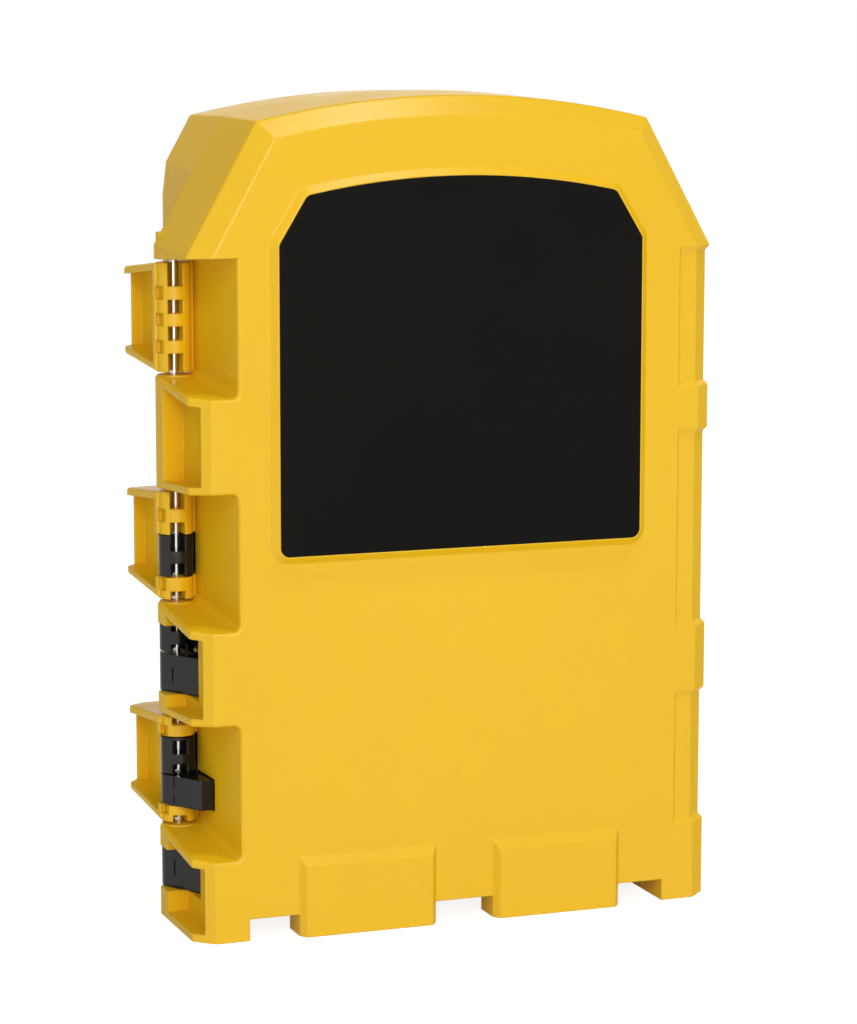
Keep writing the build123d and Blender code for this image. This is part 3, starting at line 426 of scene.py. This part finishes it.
# ------------------------------------------------------------------ finishes
@dataclass(frozen=True)
class MouldedPlastic:
    """Injection-moulded plastic with spark-eroded grain, soft edges and handling marks.

    The specular level falls from specular, face on, to grazing_specular over facing_range.
    """

    name: str
    colour: Colour
    shade: Colour
    rubbed: Colour
    roughness: float
    roughness_spread: float
    cells_per_metre: float
    grain_depth_mm: float
    edge_radius_mm: float
    specular: float
    grazing_specular: float = 0.08
    smudge_gloss: float = 0.06
    rubbed_gloss: float = 0.1
    rubbed_cover: float = 0.55
    tone_patches_per_metre: float = 9.0
    facing_range: tuple[float, float] = (0.2, 0.5)
    bevel_samples: int = 6

    def build(self, effects: EffectLibrary) -> bpy.types.Material:
        """Make the material.

        Args:
            effects: the shared node groups.

        Returns:
            The finished material.
        """
        material, sheet = new_material(self.name)
        material.diffuse_color = rgba(self.colour)
        place = sheet.object_place()
        rounded = sheet.rounded(self.edge_radius_mm, self.bevel_samples)
        grain = sheet.group(effects.grain, place, self.cells_per_metre)
        drift = sheet.group(effects.drift, place, self.tone_patches_per_metre)
        wear = sheet.group(effects.wear, place, rounded).outputs["Rubbed"]
        body = sheet.mix(drift.outputs["Tone"], rgba(self.colour), rgba(self.shade))
        body = sheet.mix(sheet.math("MULTIPLY", wear, self.rubbed_cover), body, rgba(self.rubbed))
        spread = sheet.math("MULTIPLY", grain.outputs["Mask"], self.roughness_spread)
        rough = sheet.math("ADD", spread, self.roughness)
        smudge = sheet.math("MULTIPLY", drift.outputs["Smudge"], self.smudge_gloss)
        rough = sheet.math("SUBTRACT", rough, smudge)
        rough = sheet.math("SUBTRACT", rough, sheet.math("MULTIPLY", wear, self.rubbed_gloss))
        relief = sheet.bump(self.grain_depth_mm, grain.outputs["Height"], rounded)
        facing = sheet.add("ShaderNodeLayerWeight", Blend=0.5, Normal=rounded).outputs["Facing"]
        gloss = sheet.span(facing, *self.facing_range, self.specular, self.grazing_specular)
        shader = sheet.add(
            "ShaderNodeBsdfPrincipled", Base_Color=body, Roughness=rough, Normal=relief,
            Specular_IOR_Level=gloss,
        )
        sheet.add("ShaderNodeOutputMaterial", Surface=shader.outputs[0])
        return material


@dataclass(frozen=True)
class ToolSteel:
    """Turned, ground or plated steel with fine lines, stains and bright worn edges."""

    name: str
    colour: Colour
    stain: Colour
    bright: Colour
    roughness: float
    lines_per_metre: float
    line_depth_mm: float
    edge_radius_mm: float
    line_roughness: float = 0.12
    bevel_samples: int = 4

    def build(self, effects: EffectLibrary) -> bpy.types.Material:
        """Make the material.

        Args:
            effects: the shared node groups.

        Returns:
            The finished material.
        """
        material, sheet = new_material(self.name)
        material.diffuse_color = rgba(self.colour)
        place = sheet.object_place()
        rounded = sheet.rounded(self.edge_radius_mm, self.bevel_samples)
        lines = sheet.group(effects.brushing, place, self.lines_per_metre)
        wear = sheet.group(effects.wear, place, rounded)
        body = sheet.mix(lines.outputs["Mask"], rgba(self.colour), rgba(self.stain))
        body = sheet.mix(wear.outputs["Edge"], body, rgba(self.bright))
        spread = sheet.math("MULTIPLY", lines.outputs["Height"], self.line_roughness)
        rough = sheet.math("ADD", spread, self.roughness)
        relief = sheet.bump(self.line_depth_mm, lines.outputs["Height"], rounded)
        shader = sheet.add(
            "ShaderNodeBsdfPrincipled", Base_Color=body, Roughness=rough, Normal=relief, Metallic=1.0,
        )
        sheet.add("ShaderNodeOutputMaterial", Surface=shader.outputs[0])
        return material


class Finish(Enum):
    """The case's finishes."""

    YELLOW_SHELL = MouldedPlastic(
        "yellow_shell",
        colour=(0.860, 0.520, 0.012), shade=(0.835, 0.500, 0.010), rubbed=(0.90, 0.60, 0.06),
        roughness=0.16, roughness_spread=0.09, cells_per_metre=2600.0, grain_depth_mm=0.030,
        edge_radius_mm=0.9, specular=0.34, grazing_specular=0.011,
    )
    YELLOW_LATCH = MouldedPlastic(
        "yellow_latch",
        colour=(0.86, 0.52, 0.012), shade=(0.83, 0.495, 0.010), rubbed=(0.90, 0.60, 0.06),
        roughness=0.20, roughness_spread=0.08, cells_per_metre=3200.0, grain_depth_mm=0.02,
        edge_radius_mm=0.5, specular=0.34, grazing_specular=0.011,
    )
    LABEL = MouldedPlastic(
        "black_label",
        colour=(0.0040, 0.0036, 0.0026), shade=(0.0060, 0.0054, 0.0040), rubbed=(0.02, 0.02, 0.018),
        roughness=0.38, roughness_spread=0.06, cells_per_metre=4200.0, grain_depth_mm=0.008,
        edge_radius_mm=0.35, specular=0.065, grazing_specular=0.05, smudge_gloss=0.08,
    )
    BLACK_LEAF = MouldedPlastic(
        "black_leaf",
        colour=(0.009, 0.0085, 0.0075), shade=(0.013, 0.012, 0.011), rubbed=(0.03, 0.03, 0.03),
        roughness=0.14, roughness_spread=0.07, cells_per_metre=3000.0, grain_depth_mm=0.006,
        edge_radius_mm=0.9, specular=0.35, grazing_specular=0.12, smudge_gloss=0.04,
    )
    BLACK_RACK = MouldedPlastic(
        "black_rack",
        colour=(0.013, 0.013, 0.013), shade=(0.02, 0.02, 0.019), rubbed=(0.05, 0.05, 0.05),
        roughness=0.36, roughness_spread=0.1, cells_per_metre=2800.0, grain_depth_mm=0.02,
        edge_radius_mm=0.4, specular=0.3,
    )
    BRIGHT_ROD = ToolSteel(
        "bright_rod", colour=(0.72, 0.71, 0.69), stain=(0.60, 0.58, 0.55), bright=(0.85, 0.85, 0.84),
        roughness=0.16, lines_per_metre=5200.0, line_depth_mm=0.004, edge_radius_mm=0.2,
    )
    PLATED_SCREW = ToolSteel(
        "plated_screw", colour=(0.60, 0.60, 0.61), stain=(0.48, 0.47, 0.45), bright=(0.8, 0.8, 0.8),
        roughness=0.26, lines_per_metre=3000.0, line_depth_mm=0.006, edge_radius_mm=0.2,
    )
    OXIDE_DRILL = ToolSteel(
        "oxide_drill", colour=(0.055, 0.055, 0.060), stain=(0.11, 0.10, 0.095), bright=(0.50, 0.49, 0.48),
        roughness=0.30, lines_per_metre=3600.0, line_depth_mm=0.006, edge_radius_mm=0.25,
    )
    BLASTED_BIT = ToolSteel(
        "blasted_bit", colour=(0.42, 0.42, 0.43), stain=(0.32, 0.31, 0.30), bright=(0.66, 0.66, 0.66),
        roughness=0.40, lines_per_metre=2600.0, line_depth_mm=0.010, edge_radius_mm=0.25,
    )
    CARBIDE = ToolSteel(
        "carbide_tip", colour=(0.30, 0.29, 0.28), stain=(0.22, 0.21, 0.20), bright=(0.55, 0.55, 0.54),
        roughness=0.33, lines_per_metre=2200.0, line_depth_mm=0.008, edge_radius_mm=0.2,
    )
    GROUND_SPADE = ToolSteel(
        "ground_spade", colour=(0.56, 0.56, 0.57), stain=(0.45, 0.44, 0.43), bright=(0.75, 0.75, 0.75),
        roughness=0.27, lines_per_metre=2400.0, line_depth_mm=0.010, edge_radius_mm=0.25,
    )
    SATIN_BIT = ToolSteel(
        "satin_bit", colour=(0.46, 0.45, 0.44), stain=(0.36, 0.35, 0.34), bright=(0.7, 0.7, 0.69),
        roughness=0.30, lines_per_metre=3000.0, line_depth_mm=0.008, edge_radius_mm=0.2,
    )


# ------------------------------------------------------------------ surfaces
def closed_tube(rings: np.ndarray) -> tuple[np.ndarray, list[list[int]]]:
    """Join a stack of rings into one closed skin, with a pole at each end.

    The faces are quads between ring i and ring i + 1, and a fan from each end ring to the mean of
    that ring's points.

    Args:
        rings: array of shape (rings, points, 3), each ring anticlockwise seen from its far end.

    Returns:
        The points and the faces.
    """
    count, around = rings.shape[:2]
    points = np.concatenate([rings.reshape(-1, 3), rings[:1].mean(1), rings[-1:].mean(1)])
    start = np.arange(around)
    after = (start + 1) % around
    steps = np.arange(count - 1)[:, None] * around
    quads = np.stack([steps + start, steps + after, steps + around + after, steps + around + start], -1)
    last = (count - 1) * around
    foot = np.full(around, count * around)
    low = np.stack([after, start, foot], -1)
    high = np.stack([last + start, last + after, foot + 1], -1)
    return points, quads.reshape(-1, 4).tolist() + low.tolist() + high.tolist()


def make_piece(
    name: str, skins: Sequence[tuple[np.ndarray, list[list[int]]]], smooth_angle: float
) -> bpy.types.Object:
    """Make one object from closed skins given in metres.

    Args:
        name: the object's name.
        skins: points and faces of each skin.
        smooth_angle: edges flatter than this, in degrees, are shaded smooth.

    Returns:
        The object, at the origin and unturned.
    """
    points, faces, offset = [], [], 0
    for skin_points, skin_faces in skins:
        points.append(skin_points)
        faces += [[index + offset for index in face] for face in skin_faces]
        offset += len(skin_points)
    mesh = bpy.data.meshes.new(name)
    mesh.from_pydata(np.concatenate(points).tolist(), [], faces)
    mesh.update()
    mesh.shade_smooth()
    mesh.set_sharp_from_angle(angle=math.radians(smooth_angle))
    piece = bpy.data.objects.new(name, mesh)
    bpy.context.scene.collection.objects.link(piece)
    return piece


@dataclass(frozen=True)
class FlutedTool:
    """Twist drill or masonry bit: sizes in millimetres, standing at (x, y) on z.

    The body is thinner than the shank by waist, over neck_length. web is the core's share of the
    radius at the bottom of a flute.
    """

    x: float
    y: float
    z: float
    radius: float
    length: float
    shank: float
    waist: float = 0.0
    web: float = 0.36
    helix_angle: float = 30.0
    point_half_angle: float = 59.0
    neck_length: float = 1.0
    foot_chamfer: float = 0.4
    foot_pole_radius: float = 0.05
    point_flat: float = 0.02
    flute_widening: float = 0.25
    flute_power: float = 0.7
    fade_in_radii: float = 1.6
    around: int = 40
    rings_per_turn: int = 22
    fewest_rings: int = 24

    def rings(self) -> np.ndarray:
        """Rings of the tool's skin.

        At height h and angle a the radius is R (1 - (1 - web) F(a - turn(h)) S(h)), where F is the
        two-flute profile, 1 at the bottom of a flute and 0 on a land, S fades the flutes in above
        the shank, and turn(h) winds with the helix. Near the tip the radius is held under the
        cone of the point.

        Returns:
            Array of shape (rings, points, 3) in metres.
        """
        lead = 2 * math.pi * self.radius / math.tan(math.radians(self.helix_angle))
        fluted = self.length - self.shank
        count = max(self.fewest_rings, int(fluted / lead * self.rings_per_turn))
        foot = np.array([0.0, 0.0, self.foot_chamfer])
        body = np.linspace(self.shank - self.neck_length, self.length - self.point_flat, count)
        height = np.concatenate([foot, body])[:, None]
        angle = np.linspace(0.0, 2 * math.pi, self.around, endpoint=False)[None, :]
        turn = 2 * math.pi * (height - self.shank) / lead
        wave = np.cos(2 * (angle - turn))
        flute = np.clip((wave + self.flute_widening) / (1 + self.flute_widening), 0.0, 1.0)
        flute = flute ** self.flute_power
        fade = np.clip((height - self.shank) / (self.fade_in_radii * self.radius), 0.0, 1.0)
        fade = fade * fade * (3 - 2 * fade)
        neck = np.clip((height - self.shank + self.neck_length) / self.neck_length, 0.0, 1.0)
        outer = self.radius - self.waist * neck
        radius = outer * (1 - (1 - self.web) * flute * fade)
        cone = (self.length - height) * math.tan(math.radians(self.point_half_angle))
        radius = np.minimum(radius, np.maximum(cone, self.point_flat))
        radius[0] = self.foot_pole_radius
        radius[1] = self.radius - self.foot_chamfer
        x = self.x + radius * np.cos(angle)
        y = self.y + radius * np.sin(angle)
        z = np.broadcast_to(self.z + height, x.shape)
        return np.stack([x, y, z], -1) * MM

    def skin(self) -> tuple[np.ndarray, list[list[int]]]:
        """Closed skin of the tool."""
        return closed_tube(self.rings())


def roof_plate(
    x: float, y: float, z: float, half_width: float, height: float, thickness: float
) -> tuple[np.ndarray, list[list[int]]]:
    """Carbide plate with a roof-shaped top: a five-sided outline carried along Y.

    Args:
        x: middle of the plate.
        y: middle of the plate.
        z: lower edge.
        half_width: half of its width.
        height: to the tip of the roof.
        thickness: along Y.

    Returns:
        The points in metres and the faces.
    """
    eaves = height - half_width / 2
    outline = np.array([
        (-half_width, 0.0), (half_width, 0.0), (half_width, eaves), (0.0, height), (-half_width, eaves),
    ])
    corners = len(outline)
    sides = []
    for depth in (-thickness / 2, thickness / 2):
        sides.append(np.column_stack([x + outline[:, 0], np.full(corners, y + depth), z + outline[:, 1]]))
    points = np.concatenate(sides) * MM
    walls = [[i + corners, (i + 1) % corners + corners, (i + 1) % corners, i] for i in range(corners)]
    front = list(range(corners))
    back = list(range(2 * corners - 1, corners - 1, -1))
    return points, walls + [front, back]


# ------------------------------------------------------------------ sub-assemblies
@dataclass
class Wardrobe:
    """Builds each finish once and hands it to the pieces."""

    effects: EffectLibrary = field(default_factory=EffectLibrary)
    made: dict[Finish, bpy.types.Material] = field(default_factory=dict)

    def get(self, finish: Finish) -> bpy.types.Material:
        """The finish's material, built at first use."""
        if finish not in self.made:
            self.made[finish] = finish.value.build(self.effects)
        return self.made[finish]

    def dress(self, piece: bpy.types.Object, finish: Finish) -> None:
        """Give a piece one finish.

        Args:
            piece: the object to dress.
            finish: its finish.
        """
        piece.data.materials.clear()
        piece.data.materials.append(self.get(finish))
        log.info("%s: %s", piece.name, finish.name.lower())


@dataclass
class CadFinishes:
    """Finishes of the nodes whose shape is already right."""

    finishes: dict[str, Finish] = field(default_factory=lambda: {
        "base_shell": Finish.YELLOW_SHELL,
        "lid_shell": Finish.YELLOW_SHELL,
        "lower_latch": Finish.YELLOW_LATCH,
        "upper_latch": Finish.YELLOW_LATCH,
        "label_panel": Finish.LABEL,
        "hinge_rod": Finish.BRIGHT_ROD,
        "latch_pins": Finish.BRIGHT_ROD,
        "rear_leaf": Finish.BLACK_LEAF,
        "front_leaf": Finish.BLACK_LEAF,
        "base_socket_rack": Finish.BLACK_RACK,
        "base_clip_rack": Finish.BLACK_RACK,
        "lid_socket_rack": Finish.BLACK_RACK,
        "lid_clip_rack": Finish.BLACK_RACK,
        "base_rack_screws": Finish.PLATED_SCREW,
        "lid_rack_screws": Finish.PLATED_SCREW,
        "spade_bits": Finish.GROUND_SPADE,
        "cross_tip_bits": Finish.SATIN_BIT,
        "square_tip_bits": Finish.SATIN_BIT,
        "star_tip_bits": Finish.SATIN_BIT,
    })

    def build(self, wardrobe: Wardrobe) -> None:
        """Dress the nodes.

        Args:
            wardrobe: the finishes.
        """
        for name, finish in self.finishes.items():
            wardrobe.dress(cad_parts[name], finish)


def tool_row(node: str, sizes: Sequence[tuple[float, float]]) -> tuple[np.ndarray, float, float]:
    """Where a node's tools stand: in one row, evenly spaced, touching both ends of the node's box.

    Args:
        node: the node that holds the plain tools.
        sizes: radius and length of each, in millimetres, from low x to high x.

    Returns:
        The tools' x, and the row's y and foot, in millimetres.
    """
    low, high = (np.array(corner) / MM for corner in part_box(node))
    places = np.linspace(low[0] + sizes[0][0], high[0] - sizes[-1][0], len(sizes))
    return places, float((low[1] + high[1]) / 2), float(low[2])


@dataclass
class DrillSet:
    """Twist drills that stand in the base's racks."""

    name: str
    node: str
    sizes: tuple[tuple[float, float], ...]
    shank_share: float = 0.38

    def build(self, wardrobe: Wardrobe) -> None:
        """Make the drills with their flutes, in place of the plain ones.

        Args:
            wardrobe: the finishes.
        """
        places, y, z = tool_row(self.node, self.sizes)
        skins = [
            FlutedTool(x, y, z, radius, length, length * self.shank_share).skin()
            for x, (radius, length) in zip(places, self.sizes)
        ]
        piece = make_piece(self.name, skins, FLUTE_SMOOTH_ANGLE)
        wardrobe.dress(piece, Finish.OXIDE_DRILL)
        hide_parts(self.node)
        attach(piece, "base")


@dataclass
class MasonrySet:
    """Masonry bits that stand in the lid's racks, with carbide tips; sizes in millimetres."""

    node: str = "masonry_bits"
    sizes: tuple[tuple[float, float], ...] = MASONRY_BITS
    shank: float = 40.0
    waist: float = 0.4
    web: float = 0.5
    helix_angle: float = 38.0
    point_half_angle: float = 75.0
    plate_height: float = 5.0
    plate_thickness: float = 1.6
    plate_above_body: float = 1.5

    def build(self, wardrobe: Wardrobe) -> None:
        """Make the fluted bodies and the tips, in place of the plain bits.

        Args:
            wardrobe: the finishes.
        """
        bodies, plates = [], []
        places, y, z = tool_row(self.node, self.sizes)
        for x, (radius, length) in zip(places, self.sizes):
            tool = FlutedTool(
                x, y, z, radius, length - self.plate_above_body, self.shank, waist=self.waist,
                web=self.web, helix_angle=self.helix_angle, point_half_angle=self.point_half_angle,
            )
            bodies.append(tool.skin())
            low = z + length - self.plate_height
            plates.append(roof_plate(x, y, low, radius, self.plate_height, self.plate_thickness))
        body = make_piece("masonry_bit_bodies", bodies, FLUTE_SMOOTH_ANGLE)
        wardrobe.dress(body, Finish.BLASTED_BIT)
        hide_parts(self.node)
        tips = make_piece("masonry_bit_tips", plates, PLATE_SMOOTH_ANGLE)
        wardrobe.dress(tips, Finish.CARBIDE)
        for piece in (body, tips):
            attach(piece, "lid")


# ------------------------------------------------------------------ studio
def aimed(place: Place, target: Place) -> Matrix:
    """The transform of a camera or lamp that stands at a place and looks at a target.

    Args:
        place: where it stands, in metres.
        target: what it looks at.

    Returns:
        Its world matrix, with -Z towards the target.
    """
    start = Vector(place)
    turn = (Vector(target) - start).to_track_quat("-Z", "Y").to_matrix().to_4x4()
    return Matrix.Translation(start) @ turn


@dataclass(frozen=True)
class Softbox:
    """One square area lamp: where it hangs and its side in metres, its power, what it points at."""

    name: str
    place: Place
    size: float
    watts: float
    aim: Place = (0.0, 0.0, 0.15)

    def build(self) -> None:
        """Hang the lamp."""
        data = bpy.data.lights.new(self.name, "AREA")
        data.size = self.size
        data.energy = self.watts
        lamp = bpy.data.objects.new(self.name, data)
        bpy.context.scene.collection.objects.link(lamp)
        lamp.matrix_world = aimed(self.place, self.aim)


# Large soft lamps in front and behind, a small one for the edges and one overhead
LAMPS = (
    Softbox("front_softbox", (-0.55, -2.35, 0.8), size=1.5, watts=26.5),
    Softbox("back_softbox", (2.0, 1.5, 1.0), size=1.5, watts=22.0),
    Softbox("key_lamp", (-1.1, -1.7, 1.5), size=0.22, watts=5.0),
    Softbox("top_softbox", (0.35, -0.5, 2.1), size=0.2, watts=9.0, aim=(0.0, 0.0, 0.2)),
)


@dataclass
class Studio:
    """Camera at the photograph's angle, soft light, white surroundings and a pale floor.

    A name that ends in seen is for the rays that seen_straight tells apart.
    """

    eye: Place = (-0.4424, -1.1947, 0.3401)
    target: Place = (0.0052, 0.0, 0.1501)
    lens: float = 116.7
    sensor_width: float = 36.0
    roll_degrees: float = 0.05
    view_depth: float = 50.0
    ambient: float = 0.40
    surroundings_seen: float = 1.0
    floor_size: float = 12.0
    floor_tones: tuple[float, float] = (0.80, 0.84)
    floor_mottles_per_metre: float = 6.0
    floor_tone_seen: float = 0.4
    floor_glow_seen: float = 0.86

    def build(self) -> None:
        """Set the whole studio up."""
        self.camera()
        self.world()
        for lamp in LAMPS:
            lamp.build()
        self.floor()
        bpy.context.scene.view_settings.view_transform = "Standard"

    def camera(self) -> None:
        """Place the camera."""
        data = bpy.data.cameras.new("camera")
        data.lens = self.lens
        data.sensor_width = self.sensor_width
        data.sensor_fit = "AUTO"
        data.clip_end = self.view_depth
        camera = bpy.data.objects.new("camera", data)
        bpy.context.scene.collection.objects.link(camera)
        roll = Matrix.Rotation(math.radians(self.roll_degrees), 4, "Z")
        camera.matrix_world = aimed(self.eye, self.target) @ roll
        bpy.context.scene.camera = camera

    def world(self) -> None:
        """White surroundings for the camera and for reflections, a softer level for diffuse light."""
        world = bpy.data.worlds.new("surroundings")
        bpy.context.scene.world = world
        world.use_nodes = True
        world.node_tree.nodes.clear()
        sheet = NodeSheet(world.node_tree)
        seen = sheet.seen_straight()
        strength = sheet.span(seen, 0.0, 1.0, self.ambient, self.surroundings_seen)
        light = sheet.add("ShaderNodeBackground", Color=rgba((1.0, 1.0, 1.0)), Strength=strength)
        sheet.add("ShaderNodeOutputWorld", Surface=light.outputs[0])

    def floor(self) -> None:
        """Pale floor that keeps the case's soft shadow, and glows where it is seen."""
        half = self.floor_size / 2
        mesh = bpy.data.meshes.new("floor")
        corners = [(-half, -half, 0), (half, -half, 0), (half, half, 0), (-half, half, 0)]
        mesh.from_pydata(corners, [], [(0, 1, 2, 3)])
        floor = bpy.data.objects.new("floor", mesh)
        bpy.context.scene.collection.objects.link(floor)
        material, sheet = new_material("pale_floor")
        mottle = sheet.noise(sheet.object_place(), self.floor_mottles_per_metre, 3.0)
        darker, lighter, plain = (
            rgba((grey, grey, grey)) for grey in (*self.floor_tones, self.floor_tone_seen)
        )
        tone = sheet.mix(mottle, darker, lighter)
        seen = sheet.seen_straight()
        paper = sheet.add("ShaderNodeBsdfDiffuse", Color=sheet.mix(seen, tone, plain))
        glow = sheet.add(
            "ShaderNodeEmission", Color=rgba((1.0, 1.0, 1.0)),
            Strength=sheet.math("MULTIPLY", seen, self.floor_glow_seen),
        )
        both = sheet.feed_all(sheet.add("ShaderNodeAddShader"), paper.outputs[0], glow.outputs[0])
        sheet.add("ShaderNodeOutputMaterial", Surface=both.outputs[0])
        mesh.materials.append(material)


def main() -> None:
    """Build the case's looks piece by piece."""
    logging.basicConfig(level=logging.INFO, format="%(name)s %(message)s")
    wardrobe = Wardrobe()
    Studio().build()
    CadFinishes().build(wardrobe)
    DrillSet("small_fluted_drills", "small_twist_drills", SMALL_DRILLS).build(wardrobe)
    DrillSet("large_fluted_drills", "large_twist_drills", LARGE_DRILLS).build(wardrobe)
    MasonrySet().build(wardrobe)


if __name__ == "__main__":
    main()
